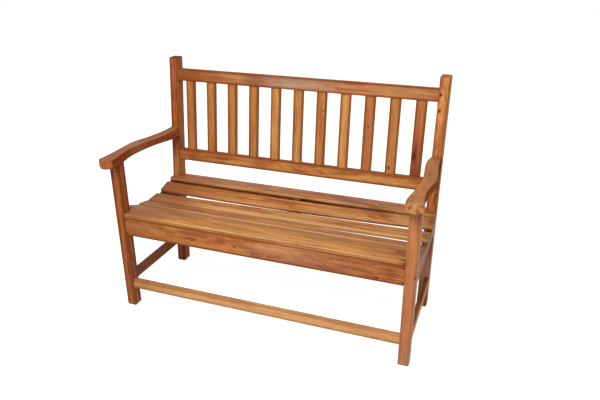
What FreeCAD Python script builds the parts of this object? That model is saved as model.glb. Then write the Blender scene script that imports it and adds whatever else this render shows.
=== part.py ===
"""Two-seat garden bench of solid hardwood.

X runs along the bench, Y from the front edge to the back, Z up, all in millimetres.
Depths are measured from the front face of the front legs, which is Y = 0 while the
pieces are made. Each finished piece is then moved so that the origin lies on the
floor under the middle of the bench's overall box.
"""
import FreeCAD, Part

import math
import os

# Overall frame
width_over_legs = 1170.0
joint_play = 0.15
pocket_end_room = 1.0

# Positions closer than this count as the same when an edge is looked up
same_place = 0.01

# Front legs, one timber each
leg_wide = 40.0
leg_deep = 40.0
leg_height = 622.0
foot_chamfer = 7.0
leg_edge_round = 3.5

# Back posts, each sawn from one plank with a slight bend at seat height
post_deep = 44.0
post_height = 939.0
post_foot_setback = 400.0
post_bend_setback = 420.0
post_bend_height = 373.0
post_lean = 5.6
post_top_chamfer = 5.0

# Seat frame
apron_thick = 20.0
apron_height = 79.0
apron_bottom = 330.0
side_rail_thick = 22.0
rear_rail_thick = 22.0
rear_rail_height = 56.0
rear_rail_recess = 3.0
support_thick = 26.0
support_tenon_long = 8.0
support_rear_cut = 19.0
support_off_centre = 20.0
rail_edge_round = 2.0

# Seat slats. Each angle is the slat's rise towards the back in degrees, and each
# drop is how far its top front edge lies below the front board's top. The front
# board is level, then falls in a curve: its half way share is the part of the drop
# that it has lost half way down, and its rear slope is the fall at its rear edge.
slat_wide = 62.0
slat_thick = 14.0
slat_edge_round = 3.0
slat_angles = (-10.5, 3.5, 14.5, 2.4)
slat_drops = (24.7, 34.0, 24.7, 1.0)
first_slat_gap = 6.0
last_slat_reach = 25.6
front_board_overhang = 2.0
front_board_wide = 148.0
front_board_drop = 28.0
front_board_level = 50.0
front_board_half_way_share = 0.36
front_board_rear_slope = 0.42
front_board_rear_thick = 13.0
front_board_nose = 6.0
notch_gap = 1.5

# Stretchers near the floor
stretcher_thick = 18.0
stretcher_height = 40.0
front_stretcher_bottom = 87.5
front_stretcher_recess = 4.0
side_stretcher_bottom = 100.0

# Backrest, with the lower rail's rise measured up the lean from the bend in the posts
# and the top rail's drop measured down the lean from their tops
back_rail_thick = 22.0
back_rail_height = 51.0
lower_rail_rise = 128.8
top_rail_drop = 43.7
back_slat_count = 11
back_slat_wide = 42.0
back_slat_thick = 12.0
back_slat_end_gap = 36.5
back_slat_recess = 4.0
back_slat_housing = 12.0

# Mortise and tenon joints
tenon_thick = 10.0
tenon_long = 20.0
side_tenon_long = 18.0
tenon_shoulder = 8.0

# Arms, sawn from a thick plank. At the nose each curve is given at distances behind
# the front of the leg, and after that at shares of the way from the leg to the post.
# The reaches are distances outwards from the middle of the leg, and the rises are
# heights above the top of the leg.
arm_nose_reach = 58.0
arm_nose_flat = 16.0
arm_edge_round = 4.0
arm_inner_nose_depths = (-42.0, -10.0)
arm_inner_nose_reaches = (-29.5, -28.5)
arm_inner_shares = (0.0, 0.134, 0.378, 0.573, 0.732, 0.866, 0.951, 1.03)
arm_inner_reaches = (-21.0, -15.0, -13.5, -20.5, -26.5, -27.0, -22.0, -13.0)
arm_outer_nose_depths = (-40.0, 0.0)
arm_outer_nose_reaches = (30.5, 25.0)
arm_outer_shares = (0.024, 0.183, 0.305, 0.451, 0.634, 0.768, 1.03)
arm_outer_reaches = (24.0, 31.0, 38.0, 36.0, 26.5, 21.0, 21.0)
arm_top_rise = 35.0
arm_nose_dip = 3.0
arm_top_shares = (0.11, 0.305, 0.5, 0.695, 1.03)
arm_top_rises = (35.5, 31.5, 26.5, 23.5, 23.5)
arm_under_shares = (1.03, 0.798, 0.598, 0.28, 0.122)
arm_under_rises = (-16.5, -10.0, -3.0, 1.5, 2.5)
arm_blank_high = 120.0
arm_dowel_wide = 12.0
arm_dowel_in_leg = 45.0
arm_dowel_in_arm = 16.0
rear_dowel_wide = 10.0
rear_dowel_half = 20.0
rear_dowel_rise = 2.0

# Nails
nail_wide = 2.8
nail_head_wide = 5.5
nail_head_thick = 1.2
nail_sink = 0.6
nail_hole_lead = 4.0
seat_nail_long = 32.0
seat_nail_spread = 30.0
board_nail_left_end = 145.0
board_nail_right_end = 105.0
board_nail_count = 4
side_board_nails = (60.0, 120.0)
leg_nail_long = 24.0
leg_nail_depths = (22.0, 37.0)
post_nail_long = 30.0
post_nail_inset = 9.0
toe_nail_long = 26.0
toe_nail_inset = 4.0
toe_nail_edge = 11.0

# Values worked out from the sizes above
half_width = width_over_legs / 2
inner_half = half_width - leg_wide
leg_middle = half_width - leg_wide / 2
apron_top = apron_bottom + apron_height
seat_top = apron_top + slat_thick
front_board_rear = front_board_wide - front_board_overhang
lean_slope = math.tan(math.radians(post_lean))
post_rise = (post_height - post_bend_height) / math.cos(math.radians(post_lean))
top_rail_rise = post_rise - top_rail_drop - back_rail_height
back_slat_room = 2 * (inner_half - back_slat_end_gap) - back_slat_wide
back_slat_pitch = back_slat_room / (back_slat_count - 1)
board_nail_room = 2 * inner_half - board_nail_left_end - board_nail_right_end
board_nail_pitch = board_nail_room / (board_nail_count - 1)
up = FreeCAD.Vector(0, 0, 1)
along = FreeCAD.Vector(1, 0, 0)
inwards = FreeCAD.Vector(0, 1, 0)


def post_front(height):
    """Depth of the posts' front face at one height."""
    if height < post_bend_height:
        share = height / post_bend_height
        return post_foot_setback + share * (post_bend_setback - post_foot_setback)
    return post_bend_setback + lean_slope * (height - post_bend_height)


def block(x_range, y_range, z_range):
    """A box between two values on each axis."""
    corner = FreeCAD.Vector(x_range[0], y_range[0], z_range[0])
    sizes = (x_range[1] - x_range[0], y_range[1] - y_range[0], z_range[1] - z_range[0])
    return Part.makeBox(*sizes, corner)


def side_prism(outline, x_range):
    """A solid whose outline is drawn in depth and height, run along X."""
    points = [FreeCAD.Vector(x_range[0], y, z) for y, z in outline]
    face = Part.Face(Part.makePolygon(points + points[:1]))
    return face.extrude(along * (x_range[1] - x_range[0]))


def mirrored(shape):
    """The same piece for the other end of the bench."""
    return shape.mirror(FreeCAD.Vector(0, 0, 0), along)


def edges_along(shape, direction, shortest):
    """Straight edges that lie along one direction and are not short."""
    found = []
    for edge in shape.Edges:
        if edge.Length < shortest or len(edge.Vertexes) < 2:
            continue
        run = edge.Vertexes[1].Point - edge.Vertexes[0].Point
        if run.Length > 0 and abs(run.normalize().dot(direction)) > 0.98:
            found.append(edge)
    return found


def edges_at_height(shape, height):
    """Edges that lie flat at one height."""
    return [edge for edge in shape.Edges
            if abs(edge.BoundBox.ZMin - height) < same_place
            and abs(edge.BoundBox.ZMax - height) < same_place]


def rounded(shape, direction, radius):
    """The shape with its long edges in one direction rounded."""
    box = shape.BoundBox
    longest = max(box.XLength, box.YLength, box.ZLength)
    return shape.makeFillet(radius, edges_along(shape, direction, longest / 4))


def leaned(shape):
    """Turns an upright backrest piece to the lean of the posts."""
    turned = shape.copy()
    turned.rotate(FreeCAD.Vector(0, post_bend_setback, post_bend_height), along, -post_lean)
    return turned


def grown(x_range, y_range, z_range, way):
    """The pocket for a tenon: a little play on its cheeks and room at its end."""
    room = {"x": joint_play, "y": joint_play, "z": joint_play}
    room[way] = pocket_end_room
    return block(
        (x_range[0] - room["x"], x_range[1] + room["x"]),
        (y_range[0] - room["y"], y_range[1] + room["y"]),
        (z_range[0] - room["z"], z_range[1] + room["z"]),
    )


def nail(tip, direction, length):
    """A nail whose sunk head starts at a point on the surface."""
    way = FreeCAD.Vector(direction).normalize()
    head_top = tip + way * nail_sink
    head = Part.makeCylinder(nail_head_wide / 2, nail_head_thick, head_top, way)
    shank = Part.makeCylinder(nail_wide / 2, length, head_top, way)
    return head.fuse(shank).removeSplitter()


def nail_hole(tip, direction, length):
    """The hole that a nail fills, open above its head."""
    way = FreeCAD.Vector(direction).normalize()
    depth = nail_hole_lead + nail_sink + nail_head_thick
    head = Part.makeCylinder(nail_head_wide / 2, depth, tip - way * nail_hole_lead, way)
    shank = Part.makeCylinder(nail_wide / 2, length, tip + way * nail_sink, way)
    return head.fuse(shank)


def end_tenons(x_outer, y_middle, z_range):
    """Tenons on both ends of a piece that runs along X."""
    sides = (y_middle - tenon_thick / 2, y_middle + tenon_thick / 2)
    heights = (z_range[0] + tenon_shoulder, z_range[1] - tenon_shoulder)
    right = (x_outer, x_outer + tenon_long)
    tenon = block(right, sides, heights)
    pocket = grown(right, sides, heights, "x")
    return tenon, pocket


def front_leg():
    """The right front leg, chamfered at the foot."""
    leg = block((inner_half, half_width), (0, leg_deep), (0, leg_height))
    leg = leg.makeChamfer(foot_chamfer, edges_at_height(leg, 0))
    return rounded(leg, up, leg_edge_round)


def back_post():
    """The right back post, floor to top in one timber."""
    top_front = post_front(post_height)
    outline = (
        (post_foot_setback, 0),
        (post_bend_setback, post_bend_height),
        (top_front, post_height),
        (top_front + post_deep, post_height),
        (post_bend_setback + post_deep, post_bend_height),
        (post_foot_setback + post_deep, 0),
    )
    post = side_prism(outline, (inner_half, half_width))
    post = post.makeChamfer(foot_chamfer, edges_at_height(post, 0))
    post = post.makeChamfer(post_top_chamfer, edges_at_height(post, post_height))
    return rounded(post, up, leg_edge_round)


def slat_places():
    """Depth, height and lean of each seat slat behind the front board."""
    first = front_board_rear + first_slat_gap
    last = post_front(seat_top) - last_slat_reach
    pitch = (last - first) / (len(slat_angles) - 1)
    return [(first + pitch * index, seat_top - drop, lean)
            for index, (lean, drop) in enumerate(zip(slat_angles, slat_drops))]


def on_slat(place, inwards_by, below):
    """A point in depth and height that moves with a leaning slat."""
    y_front, z_front, lean = place
    turn = math.radians(lean)
    y = y_front + inwards_by * math.cos(turn) + below * math.sin(turn)
    z = z_front + inwards_by * math.sin(turn) - below * math.cos(turn)
    return y, z


def seat_bed():
    """Top line of the dished rails, from the front board to the last slat."""
    points = [(apron_thick, apron_top)]
    rear_height = seat_top - front_board_drop - front_board_rear_thick
    points.append((front_board_rear, rear_height))
    for place in slat_places():
        points.append(on_slat(place, 0, slat_thick))
        points.append(on_slat(place, slat_wide, slat_thick))
    return points


def bed_height(depth, bed):
    """Height of the dished top line at one depth."""
    for (y0, z0), (y1, z1) in zip(bed, bed[1:]):
        if y0 <= depth <= y1:
            return z0 + (z1 - z0) * (depth - y0) / (y1 - y0)
    return bed[-1][1] if depth > bed[-1][0] else bed[0][1]


def seat_slat(place):
    """One seat slat with rounded long edges, over both side rails."""
    slat = block((-half_width, half_width), (0, slat_wide), (-slat_thick, 0))
    slat = rounded(slat, along, slat_edge_round)
    slat.rotate(FreeCAD.Vector(0, 0, 0), along, place[2])
    slat.translate(FreeCAD.Vector(0, place[0], place[1]))
    return slat


def last_slat(place):
    """The rear seat slat, notched round both back posts."""
    slat = seat_slat(place)
    start = post_front(place[1]) - notch_gap
    reach = slat_wide + post_deep
    heights = (place[1] - slat_wide, place[1] + slat_wide)
    notch = block((inner_half - notch_gap, half_width + leg_wide), (start, start + reach), heights)
    return slat.cut(notch).cut(mirrored(notch))


def front_board():
    """The wide front board: level in front, then falling away to the first slat."""
    front = -front_board_overhang
    rear_top = seat_top - front_board_drop
    crest = Part.BSplineCurve()
    crest.interpolate(
        Points=[FreeCAD.Vector(0, y, z) for y, z in (
            (front_board_level, seat_top),
            ((front_board_level + front_board_rear) / 2, seat_top - front_board_drop * front_board_half_way_share),
            (front_board_rear, rear_top),
        )],
        InitialTangent=FreeCAD.Vector(0, 1, 0),
        FinalTangent=FreeCAD.Vector(0, 1, -front_board_rear_slope),
    )
    corners = [FreeCAD.Vector(0, y, z) for y, z in (
        (front_board_rear, rear_top),
        (front_board_rear, rear_top - front_board_rear_thick),
        (apron_thick, apron_top),
        (front, apron_top),
        (front, seat_top),
        (front_board_level, seat_top),
    )]
    lines = [Part.LineSegment(a, b).toShape() for a, b in zip(corners, corners[1:])]
    wire = Part.Wire([crest.toShape()] + lines)
    board = Part.Face(wire).extrude(along * width_over_legs)
    board.translate(along * -half_width)
    nose = [e for e in edges_along(board, along, half_width)
            if abs(e.BoundBox.YMin - front) < same_place
            and abs(e.BoundBox.ZMin - seat_top) < same_place]
    board = board.makeFillet(front_board_nose, nose)
    rear = [e for e in edges_along(board, along, half_width)
            if abs(e.BoundBox.YMin - front_board_rear) < same_place
            and abs(e.BoundBox.ZMin - rear_top) < same_place]
    board = board.makeFillet(slat_edge_round, rear)
    notch = block(
        (inner_half - notch_gap, half_width + leg_wide),
        (front - leg_deep, leg_deep + notch_gap),
        (apron_bottom, seat_top + leg_deep),
    )
    return board.cut(notch).cut(mirrored(notch))


def dished_rail(x_range, y_front, rear_points):
    """An upright board whose top follows the undersides of the seat slats."""
    bed = seat_bed()
    top = [(y, z) for y, z in bed if y_front < y < rear_points[0][0]]
    outline = [(y_front, apron_bottom), (y_front, bed_height(y_front, bed))]
    outline += top + list(rear_points)
    return side_prism(outline, x_range)


def side_rail():
    """The right seat rail between leg and post, its outer face in line with both."""
    bed = seat_bed()
    outer = (half_width - side_rail_thick, half_width)
    height = bed_height(post_front(apron_top), bed)
    rear = [(post_front(height), height)]
    if apron_bottom < post_bend_height < height:
        rear.append((post_bend_setback, post_bend_height))
    rear.append((post_front(apron_bottom), apron_bottom))
    rail = dished_rail(outer, leg_deep, rear)
    middle = half_width - side_rail_thick / 2
    cheeks = (middle - tenon_thick / 2, middle + tenon_thick / 2)
    front_heights = (apron_bottom + tenon_shoulder, bed_height(leg_deep, bed) - tenon_shoulder)
    rear_heights = (apron_bottom + tenon_shoulder, height - tenon_shoulder)
    front_tenon = (leg_deep - side_tenon_long, leg_deep)
    rear_start = post_front(rear_heights[0])
    rear_end = post_front(rear_heights[1]) + side_tenon_long
    rail = rail.fuse(block(cheeks, front_tenon, front_heights))
    rail = rail.fuse(block(cheeks, (rear_start, rear_end), rear_heights)).removeSplitter()
    front_pocket = grown(cheeks, front_tenon, front_heights, "y")
    rear_pocket = grown(cheeks, (rear_start, rear_end), rear_heights, "y")
    return rail, front_pocket, rear_pocket


def rear_rail():
    """The rail between the posts under the last slat, its top cut to the slat's lean."""
    place = slat_places()[-1]
    front = post_front(seat_top) + rear_rail_recess
    slope = math.tan(math.radians(place[2]))
    start = on_slat(place, 0, slat_thick)
    rear = front + rear_rail_thick
    front_top = start[1] + slope * (front - start[0])
    rear_top = front_top + slope * rear_rail_thick
    bottom = front_top - rear_rail_height
    outline = ((front, bottom), (front, front_top), (rear, rear_top), (rear, bottom))
    rail = side_prism(outline, (-inner_half, inner_half))
    middle = (front + rear) / 2
    tenon, pocket = end_tenons(inner_half, middle, (bottom, front_top))
    rail = rail.fuse(tenon).fuse(mirrored(tenon)).removeSplitter()
    return rail, pocket, front


def centre_support(rear_rail_front):
    """The dished board under the middle of the seat, let into the apron and rear rail."""
    bed = seat_bed()
    sides = (support_off_centre - support_thick / 2, support_off_centre + support_thick / 2)
    top_rear = bed_height(rear_rail_front, bed)
    rear = [
        (rear_rail_front, top_rear),
        (rear_rail_front, apron_bottom + support_rear_cut),
        (rear_rail_front - support_rear_cut, apron_bottom),
    ]
    support = dished_rail(sides, apron_thick, rear)
    cheeks = (support_off_centre - tenon_thick / 2, support_off_centre + tenon_thick / 2)
    low = apron_bottom + support_rear_cut + tenon_shoulder
    heights = (low, top_rear - tenon_shoulder)
    runs = ((apron_thick - support_tenon_long, apron_thick),
            (rear_rail_front, rear_rail_front + support_tenon_long))
    for run in runs:
        support = support.fuse(block(cheeks, run, heights))
    pockets = [grown(cheeks, run, heights, "y") for run in runs]
    return support.removeSplitter(), pockets


def apron():
    """The front apron between the legs, its face in line with theirs."""
    heights = (apron_bottom, apron_top)
    board = block((-inner_half, inner_half), (0, apron_thick), heights)
    board = rounded(board, along, rail_edge_round)
    tenon, pocket = end_tenons(inner_half, apron_thick / 2, heights)
    return board.fuse(tenon).fuse(mirrored(tenon)), pocket


def front_stretcher():
    """The long stretcher between the front legs."""
    depths = (front_stretcher_recess, front_stretcher_recess + stretcher_thick)
    heights = (front_stretcher_bottom, front_stretcher_bottom + stretcher_height)
    bar = rounded(block((-inner_half, inner_half), depths, heights), along, rail_edge_round)
    tenon, pocket = end_tenons(inner_half, sum(depths) / 2, heights)
    return bar.fuse(tenon).fuse(mirrored(tenon)), pocket


def side_stretcher():
    """The right stretcher from front leg to back post, flush outside."""
    low = side_stretcher_bottom
    high = low + stretcher_height
    sides = (half_width - stretcher_thick, half_width)
    outline = ((leg_deep, low), (leg_deep, high), (post_front(high), high), (post_front(low), low))
    bar = rounded(side_prism(outline, sides), inwards, rail_edge_round)
    middle = half_width - stretcher_thick / 2
    cheeks = (middle - tenon_thick / 2, middle + tenon_thick / 2)
    heights = (low + tenon_shoulder, high - tenon_shoulder)
    front_run = (leg_deep - side_tenon_long, leg_deep)
    rear_run = (post_front(heights[0]), post_front(heights[1]) + side_tenon_long)
    bar = bar.fuse(block(cheeks, front_run, heights)).fuse(block(cheeks, rear_run, heights))
    front_pocket = grown(cheeks, front_run, heights, "y")
    rear_pocket = grown(cheeks, rear_run, heights, "y")
    return bar.removeSplitter(), front_pocket, rear_pocket


def back_rail(rise):
    """A backrest rail, drawn upright, its front face in line with the posts'."""
    bottom = post_bend_height + rise
    depths = (post_bend_setback, post_bend_setback + back_rail_thick)
    heights = (bottom, bottom + back_rail_height)
    rail = rounded(block((-inner_half, inner_half), depths, heights), along, rail_edge_round)
    tenon, pocket = end_tenons(inner_half, sum(depths) / 2, heights)
    return rail.fuse(tenon).fuse(mirrored(tenon)), pocket


def back_slat(middle):
    """A backrest slat, drawn upright, and the pocket that its ends need."""
    sides = (middle - back_slat_wide / 2, middle + back_slat_wide / 2)
    front = post_bend_setback + back_slat_recess
    depths = (front, front + back_slat_thick)
    low = post_bend_height + lower_rail_rise + back_rail_height - back_slat_housing
    high = post_bend_height + top_rail_rise + back_slat_housing
    slat = rounded(block(sides, depths, (low, high)), up, rail_edge_round)
    pocket = grown(sides, depths, (low, high), "z")
    return slat, pocket


def arm_points(shares, values):
    """The arm's points behind the leg, their shares turned into depths."""
    length = post_front(leg_height) - leg_deep
    return [(leg_deep + share * length, value) for share, value in zip(shares, values)]


def in_plan(depth, outwards):
    """A point of the arm's plan, below the arm."""
    return FreeCAD.Vector(leg_middle + outwards, depth, leg_height - arm_blank_high / 2)


def in_side_view(depth, rise):
    """A point of the arm's side view, inside of the arm."""
    return FreeCAD.Vector(leg_middle - arm_blank_high / 2, depth, leg_height + rise)


def smooth(points, make_point):
    """A smooth curve through a few points."""
    curve = Part.BSplineCurve()
    curve.interpolate([make_point(a, b) for a, b in points])
    return curve.toShape()


def arm_edges(wood):
    """The arm's edges that are rounded: neither the upright ones nor those at the post."""
    found = []
    for edge in wood.Edges:
        box = edge.BoundBox
        upright = box.ZLength > max(box.XLength, box.YLength)
        if not upright and box.YMin < post_front(leg_height) - post_deep:
            found.append(edge)
    return found


def arm():
    """The right arm: sawn to a waving plan and a gently falling side view."""
    inner = list(zip(arm_inner_nose_depths, arm_inner_nose_reaches))
    inner += arm_points(arm_inner_shares, arm_inner_reaches)
    outer = list(zip(arm_outer_nose_depths, arm_outer_nose_reaches))
    outer += arm_points(arm_outer_shares, arm_outer_reaches)
    nose = [inner[0], (-arm_nose_reach, -arm_nose_flat / 2),
            (-arm_nose_reach, arm_nose_flat / 2), outer[0]]
    plan_edges = [smooth(inner, in_plan), smooth(outer, in_plan),
                  Part.makeLine(in_plan(*inner[-1]), in_plan(*outer[-1]))]
    plan_edges += [Part.makeLine(in_plan(*a), in_plan(*b)) for a, b in zip(nose, nose[1:])]
    plan_wire = Part.Wire(Part.__sortEdges__(plan_edges))
    blank = Part.Face(plan_wire).extrude(up * arm_blank_high)
    top = [(-arm_nose_reach, arm_top_rise - arm_nose_dip), (0.0, arm_top_rise)]
    top += arm_points(arm_top_shares, arm_top_rises)
    under = arm_points(arm_under_shares, arm_under_rises) + [(leg_deep, 0.0)]
    ends = [top[-1], under[0]], [under[-1], (-arm_nose_reach, 0.0)], [(-arm_nose_reach, 0.0), top[0]]
    side_edges = [smooth(top, in_side_view), smooth(under, in_side_view)]
    side_edges += [Part.makeLine(in_side_view(*a), in_side_view(*b)) for a, b in ends]
    side_wire = Part.Wire(Part.__sortEdges__(side_edges))
    profile = Part.Face(side_wire).extrude(along * arm_blank_high)
    wood = blank.common(profile)
    behind = side_prism((
        (post_bend_setback, post_bend_height),
        (post_front(post_height), post_height),
        (post_front(post_height) + post_deep * 2, post_height),
        (post_bend_setback + post_deep * 2, post_bend_height),
    ), (inner_half - post_deep, half_width + post_deep))
    wood = wood.cut(behind).removeSplitter()
    return wood.makeFillet(arm_edge_round, arm_edges(wood))


def arm_dowels():
    """Upright dowel from leg to arm, and level dowel from arm to post, right side."""
    base = FreeCAD.Vector(leg_middle, leg_deep / 2, leg_height - arm_dowel_in_leg)
    length = arm_dowel_in_leg + arm_dowel_in_arm
    upright = Part.makeCylinder(arm_dowel_wide / 2, length, base, up)
    room = up * pocket_end_room
    upright_pocket = Part.makeCylinder(
        arm_dowel_wide / 2 + joint_play, length + 2 * pocket_end_room, base - room, up)
    height = leg_height + rear_dowel_rise
    start = FreeCAD.Vector(leg_middle, post_front(height) - rear_dowel_half, height)
    level = Part.makeCylinder(rear_dowel_wide / 2, 2 * rear_dowel_half, start, inwards)
    level_pocket = Part.makeCylinder(
        rear_dowel_wide / 2 + joint_play, 2 * (rear_dowel_half + pocket_end_room),
        start - inwards * pocket_end_room, inwards)
    return upright, upright_pocket, level, level_pocket


def nails_and_holes(spots, length):
    """The nails at a list of places, each a point and a way in, and their holes."""
    nails = [nail(point, way, length) for point, way in spots]
    holes = Part.makeCompound([nail_hole(point, way, length) for point, way in spots])
    return nails, holes


def top_of(board, x, y):
    """Height of a board's upper surface at one place."""
    low, high = FreeCAD.Vector(x, y, apron_bottom), FreeCAD.Vector(x, y, seat_top + slat_wide)
    line = Part.makeLine(low, high)
    return line.common(board).BoundBox.ZMax


def seat_nail_spots(board, rear_rail_middle):
    """Where the seat is nailed down: for each slat, points on the wood and the way in."""
    rails = (side_rail_thick / 2 - half_width, support_off_centre, half_width - side_rail_thick / 2)
    pitch_spots = [board_nail_left_end - inner_half + board_nail_pitch * n
                   for n in range(board_nail_count)]
    straight_down = FreeCAD.Vector(0, 0, -1)
    front_spots = [(x, apron_thick / 2) for x in pitch_spots]
    front_spots += [(x, y) for x in rails for y in side_board_nails]
    spots = {"seat_front_board": [
        (FreeCAD.Vector(x, y, top_of(board, x, y)), straight_down) for x, y in front_spots]}
    places = slat_places()
    for index, place in enumerate(places):
        turn = math.radians(place[2])
        way = FreeCAD.Vector(0, math.sin(turn), -math.cos(turn))
        shifts = [(x, slat_wide / 2 + side * seat_nail_spread / 2) for x in rails
                  for side in (-1, 1)]
        if place is places[-1]:
            rear_shift = (rear_rail_middle - place[0]) / math.cos(turn)
            shifts = [(x, last_slat_reach / 2) for x in rails]
            shifts += [(x, rear_shift) for x in pitch_spots]
        spots[f"seat_slat_{index + 2}"] = [
            (FreeCAD.Vector(x, *on_slat(place, shift, 0)), way) for x, shift in shifts]
    return spots


def save(name, shape):
    """Moves a finished piece to the bench's origin and writes it."""
    moved = shape.copy()
    moved.translate(FreeCAD.Vector(0, -middle_depth, 0))
    moved.exportStep(f"parts/{name}.step")
    print(name, len(moved.Solids), "solids", round(moved.Volume), moved.isValid())


# Bare pieces, the right-hand one of each pair
leg_wood = front_leg()
post_wood = back_post()
arm_wood = arm()
apron_wood, apron_pocket = apron()
front_stretcher_wood, front_stretcher_pocket = front_stretcher()
side_rail_wood, side_rail_front_pocket, side_rail_rear_pocket = side_rail()
side_stretcher_wood, side_stretcher_front_pocket, side_stretcher_rear_pocket = side_stretcher()
rear_rail_wood, rear_rail_pocket, rear_rail_front = rear_rail()
support_wood, support_pockets = centre_support(rear_rail_front)
lower_rail_wood, lower_rail_pocket = back_rail(lower_rail_rise)
top_rail_wood, top_rail_pocket = back_rail(top_rail_rise)
upright_dowel, upright_pocket, level_dowel, level_pocket = arm_dowels()
front_board_wood = front_board()
places = slat_places()
slat_woods = {"seat_front_board": front_board_wood}
for index, place in enumerate(places):
    make = last_slat if place is places[-1] else seat_slat
    slat_woods[f"seat_slat_{index + 2}"] = make(place)

# Nails of the seat
rear_rail_middle = rear_rail_front + rear_rail_thick / 2
seat_nails = []
for name, spots in seat_nail_spots(front_board_wood, rear_rail_middle).items():
    nails, holes = nails_and_holes(spots, seat_nail_long)
    seat_nails += nails
    slat_woods[name] = slat_woods[name].cut(holes)
    side_rail_wood = side_rail_wood.cut(holes)
    support_wood = support_wood.cut(holes)
    apron_wood = apron_wood.cut(holes)
    rear_rail_wood = rear_rail_wood.cut(holes)

# Nails through the right leg into the arm's dowel, and slanting through the apron's end
leg_spots = [(FreeCAD.Vector(leg_middle, 0, leg_height - depth), FreeCAD.Vector(0, 1, 0))
             for depth in leg_nail_depths]
leg_nails, leg_nail_holes = nails_and_holes(leg_spots, leg_nail_long)
toe_spots = [(FreeCAD.Vector(inner_half - toe_nail_inset, 0, height), FreeCAD.Vector(1, 1, 0))
             for height in (apron_bottom + toe_nail_edge, apron_top - toe_nail_edge)]
toe_nails, toe_nail_holes = nails_and_holes(toe_spots, toe_nail_long)
upright_dowel = upright_dowel.cut(leg_nail_holes)
apron_wood = apron_wood.cut(toe_nail_holes).cut(mirrored(toe_nail_holes))

# Nails through the right post into the tenons of both back rails, drawn upright
post_nails = []
for rise in (lower_rail_rise, top_rail_rise):
    point = FreeCAD.Vector(inner_half + post_nail_inset, post_bend_setback,
                           post_bend_height + rise + back_rail_height / 2)
    nails, holes = nails_and_holes([(point, FreeCAD.Vector(0, 1, 0))], post_nail_long)
    post_nails += [leaned(one) for one in nails]
    post_wood = post_wood.cut(leaned(holes))
    lower_rail_wood = lower_rail_wood.cut(holes).cut(mirrored(holes))
    top_rail_wood = top_rail_wood.cut(holes).cut(mirrored(holes))

# Mortises and dowel holes
for pocket in (apron_pocket, front_stretcher_pocket, side_rail_front_pocket,
               side_stretcher_front_pocket, upright_pocket, leg_nail_holes, toe_nail_holes):
    leg_wood = leg_wood.cut(pocket)
for pocket in (rear_rail_pocket, side_rail_rear_pocket, side_stretcher_rear_pocket,
               leaned(lower_rail_pocket), leaned(top_rail_pocket), level_pocket):
    post_wood = post_wood.cut(pocket)
for pocket in (upright_pocket, level_pocket):
    arm_wood = arm_wood.cut(pocket)
apron_wood = apron_wood.cut(support_pockets[0])
rear_rail_wood = rear_rail_wood.cut(support_pockets[1])

# Backrest slats, housed at both ends in the rails
back_slats = {}
for index in range(back_slat_count):
    middle = (index - (back_slat_count - 1) / 2) * back_slat_pitch
    slat, pocket = back_slat(middle)
    lower_rail_wood = lower_rail_wood.cut(pocket)
    top_rail_wood = top_rail_wood.cut(pocket)
    back_slats[f"back_slat_{index + 1:02d}"] = leaned(slat)

# The bench's origin is on the floor under the middle of its box
middle_depth = (post_wood.BoundBox.YMax - arm_nose_reach) / 2

os.makedirs("parts", exist_ok=True)
for name, wood in (
    ("front_leg", leg_wood), ("back_post", post_wood), ("arm", arm_wood),
    ("side_seat_rail", side_rail_wood), ("side_stretcher", side_stretcher_wood),
):
    save(f"{name}_right", wood)
    save(f"{name}_left", mirrored(wood))
for name, wood in (
    ("front_apron", apron_wood), ("front_stretcher", front_stretcher_wood),
    ("rear_seat_rail", rear_rail_wood), ("centre_seat_support", support_wood),
    ("back_lower_rail", leaned(lower_rail_wood)), ("back_top_rail", leaned(top_rail_wood)),
):
    save(name, wood)
for name, wood in {**slat_woods, **back_slats}.items():
    save(name, wood)
for name, ones in (
    ("arm_upright_dowels", [upright_dowel]), ("arm_rear_dowels", [level_dowel]),
    ("leg_nails", leg_nails), ("apron_nails", toe_nails), ("post_nails", post_nails),
):
    save(name, Part.makeCompound(ones + [mirrored(one) for one in ones]))
save("seat_nails", Part.makeCompound(seat_nails))
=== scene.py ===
"""Looks of the slatted garden bench: oiled hardwood, small dull nails and a white studio.

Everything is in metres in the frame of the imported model: X along the bench, Y from the
front edge to the backrest, Z up, origin on the floor under the middle.
"""

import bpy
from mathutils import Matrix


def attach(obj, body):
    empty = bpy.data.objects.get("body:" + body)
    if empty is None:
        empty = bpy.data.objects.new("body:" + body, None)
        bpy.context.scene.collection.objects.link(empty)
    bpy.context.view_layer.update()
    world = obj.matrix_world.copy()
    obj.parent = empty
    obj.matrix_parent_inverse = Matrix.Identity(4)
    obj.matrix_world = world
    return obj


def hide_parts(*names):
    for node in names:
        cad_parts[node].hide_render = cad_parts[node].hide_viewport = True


bl_info = {
    "name": "Slatted Garden Bench",
    "version": (1, 0, 0),
    "blender": (4, 5, 0),
    "location": "3D View > Sidebar > Bench",
    "description": "Gives the slatted garden bench its wood, its nails and a studio",
    "category": "Object",
}

import math

import bpy
import numpy as np
from bpy.props import FloatProperty, FloatVectorProperty, PointerProperty
from mathutils import Matrix

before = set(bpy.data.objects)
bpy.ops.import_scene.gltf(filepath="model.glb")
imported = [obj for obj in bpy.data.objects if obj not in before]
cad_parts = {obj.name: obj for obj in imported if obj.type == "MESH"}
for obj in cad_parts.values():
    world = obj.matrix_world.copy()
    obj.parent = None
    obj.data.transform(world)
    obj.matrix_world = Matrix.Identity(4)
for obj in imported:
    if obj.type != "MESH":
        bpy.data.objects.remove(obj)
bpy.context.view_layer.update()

MM = 0.001


def tone(code):
    """Linear colour of an sRGB hex code."""
    parts = [int(code[place:place + 2], 16) / 255 for place in (1, 3, 5)]
    return tuple(p / 12.92 if p <= 0.04045 else ((p + 0.055) / 1.055) ** 2.4 for p in parts)


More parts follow.
